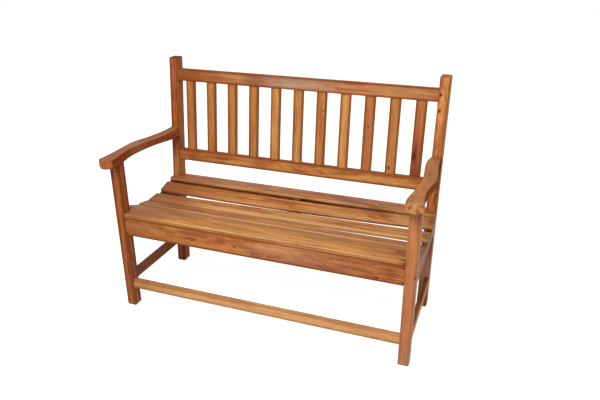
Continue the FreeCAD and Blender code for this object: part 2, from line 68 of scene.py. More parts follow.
def add(tree, kind, inputs=None, **settings):
    """Adds one shader node with its settings, then sets or links its inputs."""
    node = tree.nodes.new("ShaderNode" + kind)
    for name, value in settings.items():
        setattr(node, name, value)
    for socket, value in (inputs or {}).items():
        if isinstance(value, bpy.types.NodeSocket):
            tree.links.new(value, node.inputs[socket])
        else:
            node.inputs[socket].default_value = value
    return node


def empty_material(name):
    """A material with a bare node tree."""
    material = bpy.data.materials.new(name)
    material.use_nodes = True
    material.node_tree.nodes.clear()
    return material


def dress(name, material):
    """Gives one piece its only material."""
    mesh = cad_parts[name].data
    mesh.materials.clear()
    mesh.materials.append(material)


# The planks that the bench was sawn from: each has the colour of its pale early wood and
# of its dark late wood.
PLANKS = {
    "sand": ("#f6bd80", "#c07c46"),
    "honey": ("#e2a65f", "#a4632e"),
    "straw": ("#d4964e", "#885026"),
    "amber": ("#dc9653", "#904e22"),
    "copper": ("#e29a66", "#b06538"),
    "peach": ("#e0945e", "#b06434"),
    "rust": ("#d4874c", "#8c4820"),
    "sienna": ("#c87442", "#7c3a18"),
    "russet": ("#bf6a36", "#6e3014"),
    "umber": ("#9c5c33", "#5e3013"),
}

# How far each seat slat and the backrest lean about X, in degrees, and the lean of a board
# that stands on its edge
SLAT_LEANS = {"seat_slat_2": -10.5, "seat_slat_3": 3.5, "seat_slat_4": 14.5, "seat_slat_5": 2.4}
BACK_LEAN = -5.6
ON_EDGE = 90.0

# How far apart two boards are cut in the log for each step of their seeds: in waves of a
# pattern, and in years of growth
CUT_APART = 2.31
YEARS_APART = 7.7

# The range that holds most values of a random pattern
USUAL_LOW, USUAL_HIGH = 0.3, 0.7


class BenchWood(bpy.types.PropertyGroup):
    """Colours and figure of the hardwood."""
    # This pale colour also paints light: the rear seat slat's paler front face is painted highlight
    sapwood_and_highlight: FloatVectorProperty(
        name="Sapwood", description="Colour of the pale strip along some board edges",
        subtype="COLOR", size=3, min=0, max=1, default=tone("#e6b06c"))
    # This dark colour also paints shade on faces that stay in shade, such as the seat rails' tops
    heartwood_and_shade: FloatVectorProperty(
        name="Heartwood", description="Colour of the knots and of the darkest faces and ends",
        subtype="COLOR", size=3, min=0, max=1, default=tone("#3a1d10"))
    red_cloud: FloatVectorProperty(
        name="Red Clouds", description="Colour of the redder patches",
        subtype="COLOR", size=3, min=0, max=1, default=tone("#9d5030"))
    # Partly painted shade: faint marks of this colour as wide as a seat board darken stretches of it
    stain_and_shade: FloatVectorProperty(
        name="Stains", description="Colour of the long dark stains",
        subtype="COLOR", size=3, min=0, max=1, default=tone("#6b2f1e"))
    # Partly painted highlight: this colour paints the seat's bright front arrises and some sheen
    rubbed_and_highlight: FloatVectorProperty(
        name="Rubbed Edges", description="Colour of the edges where the oil has worn off",
        subtype="COLOR", size=3, min=0, max=1, default=tone("#f0bd98"))
    # Partly painted sheen: this grey film on the arm tops and the top rail stands in for a reflection
    dust_and_sheen: FloatVectorProperty(
        name="Dust", description="Colour of the grey film where the oil has worn thin",
        subtype="COLOR", size=3, min=0, max=1, default=tone("#a89c8a"))
    # This darkens a band along the long corners and paints shade on the right arm's outer face
    corner_dark: FloatVectorProperty(
        name="Corners", description="Colour of the dark oil along the corners",
        subtype="COLOR", size=3, min=0, max=1, default=tone("#86400a"))
    # Painted shade: this colour makes the ends of the long boards darker than their middles
    end_shade: FloatVectorProperty(
        name="Kept Oil", description="Colour of the board ends, which have kept their oil",
        subtype="COLOR", size=3, min=0, max=1, default=tone("#8a4200"))
    ring_width: FloatProperty(
        name="Ring Width", description="Thickness of one year's growth",
        subtype="DISTANCE", unit="LENGTH", min=0.001, max=0.05, default=9 * MM)
    roughness: FloatProperty(
        name="Roughness", description="Roughness of the oiled surface",
        subtype="FACTOR", min=0, max=1, default=0.52)


class BenchSlats(bpy.types.PropertyGroup):
    """Roundings of the skewed seat slats."""
    edge_round: FloatProperty(
        name="Edge Round", description="Radius of the long edges",
        subtype="DISTANCE", unit="LENGTH", min=0.0005, max=0.006, default=2.5 * MM)
    end_round: FloatProperty(
        name="End Round", description="How far the ends are eased",
        subtype="DISTANCE", unit="LENGTH", min=0.0, max=0.005, default=2 * MM)


class BenchNails(bpy.types.PropertyGroup):
    """Sizes and colours of the nails, and the colour of the dowels."""
    head_width: FloatProperty(
        name="Head Width", description="Width of the nail heads in the skewed slats",
        subtype="DISTANCE", unit="LENGTH", min=0.001, max=0.02, default=5.5 * MM)
    head_rise: FloatProperty(
        name="Head Rise", description="How far those heads stand above the wood",
        subtype="DISTANCE", unit="LENGTH", min=0.0, max=0.003, default=0.4 * MM)
    bright: FloatVectorProperty(
        name="Bright Steel", description="Colour of the nails in the leg tops",
        subtype="COLOR", size=3, min=0, max=1, default=tone("#c9c1b8"))
    dark: FloatVectorProperty(
        name="Dark Steel", description="Colour of the tarnished nails",
        subtype="COLOR", size=3, min=0, max=1, default=tone("#3a3130"))
    rust: FloatVectorProperty(
        name="Rust", description="Colour of the rusted nails",
        subtype="COLOR", size=3, min=0, max=1, default=tone("#a8663e"))
    dowel: FloatVectorProperty(
        name="Dowel", description="Colour of the beech dowels",
        subtype="COLOR", size=3, min=0, max=1, default=tone("#cda873"))


class BenchStudio(bpy.types.PropertyGroup):
    """Floor, light and camera."""
    floor: FloatVectorProperty(
        name="Floor", description="Colour of the floor",
        subtype="COLOR", size=3, min=0, max=1, default=tone("#d2d0cd"))
    key_power: FloatProperty(
        name="Key Light", description="Power of the large soft light",
        unit="POWER", min=0, default=74)
    ambient: FloatProperty(
        name="Ambient", description="Strength of the even light from all sides",
        min=0, max=2, default=0.38)
    lens: FloatProperty(
        name="Lens", description="Focal length of the camera",
        unit="CAMERA", min=10, max=200, default=35.233)


def lie_of(name, grain, lean):
    """Middle, axes and half sizes of a board that lies along one axis and leans about X.

    The axes are rows: across the board's wide face, through its thickness, and along its
    grain. The half sizes are half the spread of the mesh's points along each.
    """
    x, y, z = np.array(Matrix.Rotation(math.radians(lean), 3, "X")).T
    axes = np.array({"x": (y, z, x), "y": (z, x, y), "z": (x, y, z), "y flat": (x, -z, y)}[grain])
    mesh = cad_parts[name].data
    points = np.empty(len(mesh.vertices) * 3)
    mesh.vertices.foreach_get("co", points)
    local = points.reshape(-1, 3) @ axes.T
    low, high = local.min(0), local.max(0)
    return (low + high) / 2 @ axes, axes, (high - low) / 2


def hardwood(name, piece, seed):
    """Oiled tropical hardwood with interlocked grain, planed, sanded and rubbed with oil.

    The board is cut from a solid log: growth rings are wavy cylinders round a pith that
    lies off the board, so faces, edges and ends all show the same rings. Interlocked
    grain adds slanting stripes in patches. The eye sees orange-brown bands that run with
    the grain, redder clouds, fine fibres, short dark pores, a darker band along the
    corners, paler worn arrises with a painted highlight, painted shade towards the ends
    and on faces that stay in shade, painted sheen on some tops, darker and rougher end
    grain, and a soft sheen.

    What a piece says, with lengths in mm and angles in degrees:
    plank, shade: its colours, and how bright they are
    grain, lean: the axis that its fibres run along, and how far it leans about X
    pith, slope: the log's middle across and through the board, and the log's tilt
    bands, curl, mottle, lines, cloud: how strong each figure is
    slant: the angle of the interlocked stripes
    knots: (across, along, size) of each
    marks, late_marks: (colour, across, along, half width, half length, strength) of each,
    under the fibres or over the worn edges and painted highlights
    sap: which long edge has the pale sap strip, -1 or 1, and how wide it is
    rim: how dark the band along the corners is
    faces: (colour, across, through, strength) for the faces that look that way, mostly
    painted shade, painted highlight and painted sheen
    ends: how much painted shade darkens the ends at low and at high values of the axis
    end, chips: the end grain's colour and strength, and how far it is chipped
    gloss: the sheen
    """
    look = bpy.context.scene.bench_wood
    shade = piece.get("shade", 1.0)
    pale, dark = (tuple(part * shade for part in tone(code)) + (1.0,) for code in PLANKS[piece["plank"]])
    colours = {key: tuple(getattr(look, key)) + (1.0,)
               for key in ("sapwood_and_highlight", "heartwood_and_shade", "red_cloud", "stain_and_shade", "rubbed_and_highlight", "dust_and_sheen", "corner_dark",
                           "end_shade")}
    middle, axes, half = lie_of(name, piece["grain"], piece.get("lean", 0.0))
    material = empty_material(f"oiled hardwood {name}")
    tree = material.node_tree
    surface = add(tree, "TexCoord").outputs
    turn = Matrix(axes.tolist()).transposed().to_euler()
    board = add(tree, "Mapping", {
        "Vector": surface["Object"], "Location": middle.tolist(), "Rotation": turn,
    }, vector_type="TEXTURE").outputs[0]
    across, through, along = add(tree, "SeparateXYZ", {0: board}).outputs

    # Each figure adds a layer over the pale wood: its share, its colour and how it blends
    layers = []

    def pattern(vector, counts, detail, rough=0.6):
        """A random pattern with so many waves to the metre across, through and along."""
        spread = add(tree, "Mapping", {
            "Vector": vector, "Location": (0.0, 0.0, seed * CUT_APART), "Scale": counts}).outputs[0]
        return add(tree, "TexNoise", {"Vector": spread, "Scale": 1.0, "Detail": detail, "Roughness": rough})

    def facing(way):
        """How squarely the surface looks one way, from -1 to 1."""
        return add(tree, "VectorMath", {0: surface["Normal"], 1: way.tolist()},
                   operation="DOT_PRODUCT").outputs["Value"]

    # Slow waviness of the log, up to 25 mm to a side, in waves 110 mm wide and 450 mm long
    sway = 50 * MM
    waves = pattern(board, (9.0, 9.0, 2.2), 3.0, 0.55)
    aside = add(tree, "VectorMath", {
        0: waves.outputs["Color"], 1: (sway, sway, 0.0), 2: (-sway / 2, -sway / 2, 0.0),
    }, operation="MULTIPLY_ADD").outputs[0]
    wavy = add(tree, "VectorMath", {0: board, 1: aside}, operation="ADD").outputs[0]
    log = add(tree, "Mapping", {
        "Vector": wavy,
        "Location": (-piece["pith"][0] * MM, -piece["pith"][1] * MM, 0.0),
        "Rotation": (math.radians(piece.get("slope", 1.2)), math.radians(0.4), 0.0),
    }).outputs[0]
    flat = add(tree, "VectorMath", {0: log, 1: (1.0, 1.0, 0.0)}, operation="MULTIPLY").outputs[0]
    radius = add(tree, "VectorMath", {0: flat}, operation="LENGTH").outputs["Value"]

    # Knots: the rings part round each, and its middle is dark
    knot_wood = None
    for x, z, size in piece.get("knots", ()):
        squeeze = add(tree, "VectorMath", {0: board, 1: (1.0, 0.0, 0.6)}, operation="MULTIPLY").outputs[0]
        apart = add(tree, "VectorMath", {
            0: squeeze, 1: (x * MM, 0.0, z * 0.6 * MM)}, operation="DISTANCE").outputs["Value"]
        near = add(tree, "MapRange", {
            "Value": apart, 1: 4.5 * size * MM, 2: 0.0, 3: 0.0, 4: 2.0 * size * MM,
        }, interpolation_type="SMOOTHSTEP").outputs[0]
        radius = add(tree, "Math", {0: radius, 1: near}, operation="ADD").outputs[0]
        heart = add(tree, "MapRange", {
            "Value": apart, 1: 1.2 * size * MM, 2: 0.4 * size * MM, 3: 0.0, 4: 0.9,
        }, interpolation_type="SMOOTHSTEP").outputs[0]
        knot_wood = heart if knot_wood is None else add(
            tree, "Math", {0: knot_wood, 1: heart}, operation="MAXIMUM").outputs[0]

    # Growth rings, uneven from year to year
    years = add(tree, "Math", {0: radius, 1: 1.0 / look.ring_width, 2: seed * YEARS_APART},
                operation="MULTIPLY_ADD").outputs[0]
    rings = add(tree, "TexNoise", {"W": years, "Scale": 0.5, "Detail": 4.0, "Roughness": 0.65},
                noise_dimensions="1D").outputs[0]
    much = 0.55 * piece.get("bands", 1.0)
    late = add(tree, "MapRange", {"Value": rings, 1: USUAL_LOW, 2: USUAL_HIGH, 3: 0.4 - much, 4: 0.4 + much},
               clamp=False).outputs[0]

    # Interlocked grain: stripes 12 mm wide that slant across the face, in patches 80 mm wide
    slanted = add(tree, "Mapping", {
        "Vector": wavy, "Rotation": (0.0, math.radians(piece.get("slant", 24.0)), 0.0)}).outputs[0]
    stripes = pattern(slanted, (80.0, 30.0, 9.0), 5.0, 0.72).outputs[0]
    stripes = add(tree, "MapRange", {"Value": stripes, 1: USUAL_LOW, 2: USUAL_HIGH, 3: -0.7, 4: 0.7},
                  clamp=False).outputs[0]
    patches = pattern(board, (12.0, 12.0, 4.0), 1.0).outputs[0]
    patches = add(tree, "MapRange", {
        "Value": patches, 1: 0.42, 2: 0.64, 3: 0.0, 4: piece.get("curl", 0.6)}).outputs[0]
    late = add(tree, "Math", {0: stripes, 1: patches, 2: late}, operation="MULTIPLY_ADD").outputs[0]

    # Mottle: soft blots 20 mm by 60 mm where the fibres tip up and down
    mottle = pattern(wavy, (50.0, 50.0, 17.0), 5.0, 0.7).outputs[0]
    much = piece.get("mottle", 0.2)
    blots = add(tree, "MapRange", {"Value": mottle, 1: USUAL_LOW, 2: USUAL_HIGH, 3: -much, 4: much},
                clamp=False).outputs[0]
    late = add(tree, "Math", {0: late, 1: blots}, operation="ADD").outputs[0]

    # Fine lines 5 mm wide along the grain
    lines = pattern(board, (190.0, 190.0, 4.0), 3.0).outputs[0]
    much = piece.get("lines", 0.55)
    lines = add(tree, "MapRange", {"Value": lines, 1: USUAL_LOW, 2: USUAL_HIGH, 3: -much, 4: much},
                clamp=False).outputs[0]
    late = add(tree, "Math", {0: late, 1: lines}, operation="ADD", use_clamp=True).outputs[0]
    layers.append((late, dark, "MIX"))

    # Redder clouds 40 mm wide and 170 mm long
    cloud = pattern(board, (24.0, 24.0, 6.0), 3.0).outputs[0]
    redder = add(tree, "MapRange", {
        "Value": cloud, 1: 0.45, 2: 0.68, 3: 0.0, 4: piece.get("cloud", 0.5)}).outputs[0]
    layers.append((redder, colours["red_cloud"], "MIX"))

    def add_marks(marks):
        """Adds soft marks with ragged borders, each as the docstring above lists it."""
        for kind, x, z, wide, long, strength in marks:
            spread = add(tree, "Mapping", {
                "Vector": wavy, "Location": (x * MM, 0.0, z * MM), "Scale": (wide * MM, 1.0, long * MM),
            }, vector_type="TEXTURE").outputs[0]
            apart = add(tree, "VectorMath", {0: spread}, operation="LENGTH").outputs["Value"]
            ragged = add(tree, "Math", {0: mottle, 1: 0.9, 2: apart}, operation="MULTIPLY_ADD").outputs[0]
            depth = add(tree, "MapRange", {"Value": ragged, 1: 1.65, 2: 0.6, 3: 0.0, 4: strength},
                        interpolation_type="SMOOTHSTEP").outputs[0]
            layers.append((depth, colours[kind], "MIX"))

    add_marks(piece.get("marks", ()))

    # Fibres 1 mm wide and pores 0.7 mm wide, drawn coarser than the real 0.2 mm so that
    # they show
    fibre = pattern(board, (900.0, 900.0, 22.0), 3.0).outputs[0]
    fibre_shade = add(tree, "MapRange", {"Value": fibre, 1: 0.25, 2: 0.75, 3: 0.84, 4: 1.14}).outputs[0]
    layers.append((1.0, fibre_shade, "MULTIPLY"))
    grit = pattern(board, (1300.0, 1300.0, 80.0), 1.0).outputs[0]
    pores = add(tree, "MapRange", {"Value": grit, 1: 0.64, 2: 0.72, 3: 0.0, 4: 0.6}).outputs[0]
    layers.append((pores, dark, "MIX"))

    if "sap" in piece:
        # Pale strip along one edge: from the edge inwards by the given width, with a border
        # that wanders by 15 mm to a side and is 8 mm soft
        side, width = piece["sap"]
        wander, soft = 30 * MM, 4 * MM
        inwards = add(tree, "Math", {0: across, 1: -side, 2: half[0]}, operation="MULTIPLY_ADD").outputs[0]
        border = add(tree, "Math", {0: waves.outputs[0], 1: wander, 2: width * MM - wander / 2},
                     operation="MULTIPLY_ADD").outputs[0]
        depth = add(tree, "Math", {0: inwards, 1: border}, operation="SUBTRACT").outputs[0]
        sap = add(tree, "MapRange", {"Value": depth, 1: soft, 2: -soft, 3: 0.0, 4: 0.7},
                  interpolation_type="SMOOTHSTEP").outputs[0]
        layers.append((sap, colours["sapwood_and_highlight"], "MIX"))
    if knot_wood is not None:
        layers.append((knot_wood, colours["heartwood_and_shade"], "MIX"))

    # Darker band along the long corners, about 8 mm wide on each face: a broad face is measured
    # across the board, a narrow one through it
    squarely = add(tree, "Math", {0: facing(axes[1])}, operation="ABSOLUTE").outputs[0]
    broad = add(tree, "MapRange", {"Value": squarely, 1: 0.5, 2: 0.8, 3: 0.0, 4: 1.0}).outputs[0]
    from_edge = []
    for part, reach in ((across, half[0]), (through, half[1])):
        off = add(tree, "Math", {0: part}, operation="ABSOLUTE").outputs[0]
        from_edge.append(add(tree, "Math", {0: off, 1: -1.0, 2: reach}, operation="MULTIPLY_ADD").outputs[0])
    corner = add(tree, "Mix", {0: broad, 2: from_edge[1], 3: from_edge[0]}, data_type="FLOAT").outputs[0]
    rim = add(tree, "MapRange", {"Value": corner, 1: 11 * MM, 2: 5 * MM, 3: 0.0, 4: piece.get("rim", 0.9)},
              interpolation_type="SMOOTHSTEP").outputs[0]
    uneven = add(tree, "MapRange", {"Value": waves.outputs[0], 1: 0.3, 2: 0.6, 3: 0.7, 4: 1.0}).outputs[0]
    rim = add(tree, "Math", {0: rim, 1: uneven}, operation="MULTIPLY").outputs[0]
    layers.append((rim, colours["corner_dark"], "MIX"))

    # Faces that look one way have a colour of their own: painted shade on faces that stay in shade,
    # a painted highlight along arrises and painted sheen on tops
    for kind, sideways, outwards, strength in piece.get("faces", ()):
        way = sideways * axes[0] + outwards * axes[1]
        way = way / np.linalg.norm(way)
        share = add(tree, "MapRange", {"Value": facing(way), 1: 0.8, 2: 0.97, 3: 0.0, 4: strength},
                    interpolation_type="SMOOTHSTEP").outputs[0]
        patchy = add(tree, "MapRange", {"Value": cloud, 1: 0.35, 2: 0.6, 3: 0.55, 4: 1.0}).outputs[0]
        share = add(tree, "Math", {0: share, 1: patchy}, operation="MULTIPLY").outputs[0]
        layers.append((share, colours[kind], "MIX"))

    add_marks(piece.get("late_marks", ()))

    # Painted shade: over the last 360 mm towards each end a board grows darker than its middle
    if "ends" in piece:
        inner, outer = half[2] - 360 * MM, half[2] - 60 * MM
        low, high = (
            add(tree, "MapRange", {"Value": along, 1: side * inner, 2: side * outer, 3: 0.0, 4: strength},
                interpolation_type="SMOOTHSTEP").outputs[0]
            for side, strength in zip((-1, 1), piece["ends"]))
        # Share of the painted shade at the board ends
        kept = add(tree, "Math", {0: low, 1: high}, operation="ADD").outputs[0]
        layers.append((kept, colours["end_shade"], "MIX"))

    # End grain soaks up more oil, or is bleached where it is chipped
    kind, strength = piece.get("end", ("heartwood_and_shade", 0.45))
    squarely = add(tree, "Math", {0: facing(axes[2])}, operation="ABSOLUTE").outputs[0]
    cut = add(tree, "MapRange", {"Value": squarely, 1: 0.5, 2: 0.75, 3: 0.0, 4: 1.0}).outputs[0]
    end = add(tree, "Math", {0: cut, 1: strength}, operation="MULTIPLY").outputs[0]
    layers.append((end, colours[kind], "MIX"))
    if "chips" in piece:
        # Hollows 10 mm wide where splinters have broken out of the end
        hollows = pattern(board, (100.0, 100.0, 60.0), 3.0).outputs[0]
        hollows = add(tree, "MapRange", {
            "Value": hollows, 1: 0.42, 2: 0.62, 3: 0.0, 4: piece["chips"]}).outputs[0]
        hollows = add(tree, "Math", {0: cut, 1: hollows}, operation="MULTIPLY").outputs[0]
        layers.append((hollows, colours["red_cloud"], "MIX"))

    colour = pale
    for share, over, blend in layers:
        colour = add(tree, "Mix", {0: share, 6: colour, 7: over},
                     data_type="RGBA", blend_type=blend).outputs[2]

    rough = add(tree, "MapRange", {
        "Value": fibre, 1: 0.2, 2: 0.8, 3: look.roughness - 0.1, 4: look.roughness + 0.12}).outputs[0]
    rough = add(tree, "Math", {0: end, 1: 0.3, 2: rough}, operation="MULTIPLY_ADD").outputs[0]
    relief = add(tree, "Math", {0: pores, 1: -0.6, 2: fibre}, operation="MULTIPLY_ADD").outputs[0]
    bump = add(tree, "Bump", {"Height": relief, "Strength": 0.4, "Distance": 0.4 * MM}).outputs[0]
    shader = add(tree, "BsdfPrincipled", {
        "Base Color": colour, "Roughness": rough, "Normal": bump, "IOR": 1.5,
        "Specular IOR Level": piece.get("gloss", 0.15),
    })
    add(tree, "OutputMaterial", {"Surface": shader.outputs[0]})
    return material


def dress_boards(boards):
    """Gives each board of a group its own cut of the hardwood.

    Where in the log it is cut comes from the letters of its name.
    """
    for name, piece in boards.items():
        seed = sum(ord(letter) * (place + 1) for place, letter in enumerate(name)) % 97 / 10
        dress(name, hardwood(name, piece, seed))


def steel_material(name, colour, roughness, rust=None):
    """Wire nails, cold headed and left bare: dull grey steel, mottled by tarnish.

    The tarnish is in spots 1 mm wide. With a rust colour, the nails at the right end of
    the bench have rusted.
    """
    material = empty_material(name)
    tree = material.node_tree
    place = add(tree, "TexCoord").outputs["Object"]
    spots = add(tree, "TexNoise", {"Vector": place, "Scale": 900.0, "Detail": 3.0}).outputs[0]
    tarnish = add(tree, "MapRange", {"Value": spots, 1: 0.35, 2: 0.7, 3: 0.0, 4: 0.8}).outputs[0]
    bare = tuple(colour) + (1.0,)
    tarnished = tuple(part * 0.45 for part in colour) + (1.0,)
    shown = add(tree, "Mix", {0: tarnish, 6: bare, 7: tarnished}, data_type="RGBA").outputs[2]
    if rust is not None:
        right = add(tree, "SeparateXYZ", {0: place}).outputs[0]
        right = add(tree, "MapRange", {"Value": right, 1: -100 * MM, 2: 100 * MM}).outputs[0]
        shown = add(tree, "Mix", {0: right, 6: shown, 7: tuple(rust) + (1.0,)}, data_type="RGBA").outputs[2]
    rough = add(tree, "MapRange", {"Value": spots, 3: roughness, 4: roughness + 0.3}).outputs[0]
    shader = add(tree, "BsdfPrincipled", {"Base Color": shown, "Roughness": rough, "Metallic": 0.8})
    add(tree, "OutputMaterial", {"Surface": shader.outputs[0]})
    return material


def beech_material(name, colour):
    """Beech dowel rod, turned smooth and left bare: pale, with soft flecks 2.5 mm wide."""
    material = empty_material(name)
    tree = material.node_tree
    place = add(tree, "TexCoord").outputs["Object"]
    flecks = add(tree, "TexNoise", {"Vector": place, "Scale": 400.0, "Detail": 2.0}).outputs[0]
    bare = tuple(colour) + (1.0,)
    flecked = tuple(part * 0.75 for part in colour) + (1.0,)
    shown = add(tree, "Mix", {0: flecks, 6: bare, 7: flecked}, data_type="RGBA").outputs[2]
    shader = add(tree, "BsdfPrincipled", {"Base Color": shown, "Roughness": 0.6})
    add(tree, "OutputMaterial", {"Surface": shader.outputs[0]})
    return material


class BENCH_OT_uprights(bpy.types.Operator):
    """Gives the front legs and back posts their wood"""
    bl_idname = "bench.uprights"
    bl_label = "Legs and Posts"

    def execute(self, context):
        dress_boards({
            "front_leg_left": {"plank": "russet", "grain": "z", "pith": (60, 45), "curl": 0.4},
            "front_leg_right": {
                "plank": "peach", "shade": 0.93, "grain": "z", "pith": (-90, 30), "bands": 0.2, "curl": 0.1,
                "lines": 0.2, "cloud": 0.25, "rim": 0.3, "gloss": 0.3, "knots": ((16, 56, 4),),
                "late_marks": (("stain_and_shade", 14, 235, 3, 55, 0.7), ("dust_and_sheen", 0, -290, 60, 60, 0.2))},
            "back_post_left": {
                "plank": "russet", "shade": 1.06, "grain": "z", "pith": (80, 20), "curl": 0.3,
                "end": ("heartwood_and_shade", 0.75), "knots": ((14, 196, 3), (-6, 300, 3)),
                "marks": (("sapwood_and_highlight", 0, 10, 60, 90, 0.3),)},
            # Painted shade on its outer side face; its late marks paint light low down, where the leg's
            # shadow falls
            "back_post_right": {
                "plank": "amber", "shade": 1.26, "grain": "z", "pith": (-50, 60), "cloud": 0.6,
                "bands": 0.6, "rim": 0.8, "end": ("heartwood_and_shade", 0.4), "faces": (("heartwood_and_shade", 1, 0, 0.2),),
                "knots": ((-10, 344, 6), (-11, 402, 6)),
                "marks": (("red_cloud", 4, 240, 9, 170, 0.55), ("stain_and_shade", 2, 392, 4, 26, 0.7)),
                "late_marks": (("rubbed_and_highlight", 0, -300, 60, 150, 0.55), ("red_cloud", 0, -180, 60, 150, 0.42))},
        })
        return {"FINISHED"}


class BENCH_OT_arms(bpy.types.Operator):
    """Gives the arms their wood"""
    bl_idname = "bench.arms"
    bl_label = "Arms"

    def execute(self, context):
        dress_boards({
            # The grey film on the arm tops is painted sheen, and the right arm's outer face gets painted
            # shade
            "arm_left": {
                "plank": "russet", "shade": 0.9, "grain": "y flat", "pith": (30, 60), "bands": 0.5,
                "curl": 0.2, "rim": 0.7, "gloss": 0.05, "end": ("sapwood_and_highlight", 0.15), "chips": 0.6,
                "faces": (("dust_and_sheen", 0, -1, 0.2),), "late_marks": (("sapwood_and_highlight", 0, -50, 60, 70, 0.2),)},
            "arm_right": {
                "plank": "rust", "grain": "y flat", "pith": (-25, 60), "bands": 0.35, "curl": 0.2,
                "mottle": 0.3, "lines": 0.2, "cloud": 0.5, "rim": 0.7, "gloss": 0.0,
                "end": ("sapwood_and_highlight", 0.5), "chips": 0.9, "knots": ((-6, -188, 3), (11, -190, 2)),
                "faces": (("corner_dark", 1, 0, 0.1), ("rubbed_and_highlight", 0, -1, 0.14), ("dust_and_sheen", 0, -1, 0.08)),
                "marks": (("sapwood_and_highlight", 0, -268, 60, 40, 0.45),),
                "late_marks": (("stain_and_shade", 0, 232, 60, 40, 0.35),)},
        })
        return {"FINISHED"}


class BENCH_OT_seat(bpy.types.Operator):
    """Gives the seat boards their wood"""
    bl_idname = "bench.seat"
    bl_label = "Seat Boards"

    def execute(self, context):
        # Painted shade on the front faces of the two skewed slats, which stand in the gaps' shade
        shaded_front = ("heartwood_and_shade", -1, 0, 0.35)
        # Painted highlight along the front top arris, over some real wear
        rubbed_and_highlight = ("rubbed_and_highlight", -1, 1, 0.4)
        boards = {
            # Most marks as wide as a board (across 0) are painted highlight and painted shade along the seat
            "seat_front_board": {
                "plank": "straw", "shade": 1.05, "grain": "x", "pith": (10, -240), "bands": 0.8,
                "curl": 0.15, "mottle": 0.15, "lines": 0.7, "cloud": 0.3, "rim": 0.0, "gloss": 0.3,
                "ends": (0.6, 0.25), "faces": (("red_cloud", -1, 0, 0.22), ("rubbed_and_highlight", -1, 1, 0.32)),
                "marks": (("stain_and_shade", -5, 520, 40, 32, 0.75), ("stain_and_shade", -66, 535, 12, 16, 0.8),
                          ("sapwood_and_highlight", -58, 170, 12, 400, 0.5), ("heartwood_and_shade", -72, 542, 16, 5, 0.9),
                          ("stain_and_shade", 0, -320, 60, 110, 0.08), ("sapwood_and_highlight", 0, 150, 60, 120, 0.1))},
            "seat_slat_2": {
                "shade": 0.88, "pith": (15, -90), "curl": 0.3, "sap": (-1, 8), "rim": 0.3, "gloss": 0.3,
                "ends": (0.5, 0.35), "faces": (rubbed_and_highlight,), "marks": (("sapwood_and_highlight", 0, 0, 40, 130, 0.25),)},
            "seat_slat_3": {
                "shade": 0.94, "pith": (-10, -80), "curl": 0.5, "sap": (-1, 15), "rim": 0.0, "gloss": 0.3,
                "ends": (0.76, 0.0), "faces": (shaded_front, rubbed_and_highlight),
                "marks": (("stain_and_shade", -12, -450, 10, 70, 0.8), ("stain_and_shade", 8, -330, 8, 60, 0.5),
                          ("stain_and_shade", 14, 320, 7, 120, 0.5), ("sapwood_and_highlight", 0, 80, 40, 150, 0.45),
                          ("stain_and_shade", 0, -260, 40, 100, 0.12), ("sapwood_and_highlight", 0, 430, 40, 130, 0.25))},
            "seat_slat_4": {
                "shade": 1.06, "pith": (5, -70), "curl": 0.6, "rim": 0.0, "gloss": 0.3,
                "ends": (0.78, 0.0), "faces": (shaded_front, rubbed_and_highlight),
                "marks": (("stain_and_shade", 4, 40, 6, 90, 0.4), ("sapwood_and_highlight", -14, -330, 8, 200, 0.1),
                          ("stain_and_shade", 0, -270, 40, 120, 0.15), ("sapwood_and_highlight", 0, 90, 40, 90, 0.1),
                          ("sapwood_and_highlight", 0, 270, 40, 120, 0.25), ("sapwood_and_highlight", 0, 500, 40, 110, 0.45))},
            "seat_slat_5": {
                "shade": 0.98, "pith": (-20, -60), "curl": 0.5, "cloud": 0.7, "rim": 0.3, "gloss": 0.35,
                # Its front face is made paler as painted light, and its front arris gets a painted highlight
                "ends": (0.5, 0.1), "faces": (("sapwood_and_highlight", -1, 0, 0.75), ("rubbed_and_highlight", -1, 1, 0.5)),
                "marks": (("stain_and_shade", -14, 250, 12, 90, 0.6), ("stain_and_shade", -8, 380, 9, 60, 0.5),
                          ("stain_and_shade", 4, 260, 26, 110, 0.3), ("stain_and_shade", 0, 400, 40, 100, 0.15),
                          ("stain_and_shade", 0, -250, 40, 100, 0.1)),
                "late_marks": (("stain_and_shade", -31, 330, 8, 130, 0.8), ("stain_and_shade", -30, 60, 5, 60, 0.5))},
        }
        for name, lean in SLAT_LEANS.items():
            boards[name].update(plank="amber", grain="x", lean=lean, end=("heartwood_and_shade", 0.65))
        dress_boards(boards)
        return {"FINISHED"}


